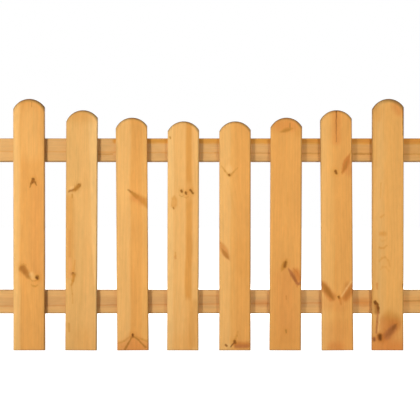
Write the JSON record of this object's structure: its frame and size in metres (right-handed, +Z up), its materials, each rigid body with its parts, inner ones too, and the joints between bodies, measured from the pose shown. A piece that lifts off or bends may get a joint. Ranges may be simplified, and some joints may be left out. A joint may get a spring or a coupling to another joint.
{
  "type": "wooden picket fence panel",
  "caption": "Low wooden fence panel of upright round-headed boards on two rails, with a dipped top line, for fixing between or across posts.",
  "frame": {"origin": "middle of the lower rail's back face, which lies against the posts", "axes": "+X along the panel, +Y out of the back towards the posts, +Z up; the pickets face -Y"},
  "size_m": [1.361, 0.055, 0.8003],
  "materials": {
    "picket_wood": "planed softwood with a honey-coloured stain",
    "rail_wood": "planed softwood with a honey-coloured stain",
    "screw_steel": "yellow zinc plate"
  },
  "bodies": {
    "root": {"picket_1": "picket_wood", "picket_2": "picket_wood", "picket_3": "picket_wood", "picket_4": "picket_wood", "picket_5": "picket_wood", "picket_6": "picket_wood", "picket_7": "picket_wood", "picket_8": "picket_wood", "lower_rail": "rail_wood", "upper_rail": "rail_wood"}
  },
  "joints": []
}
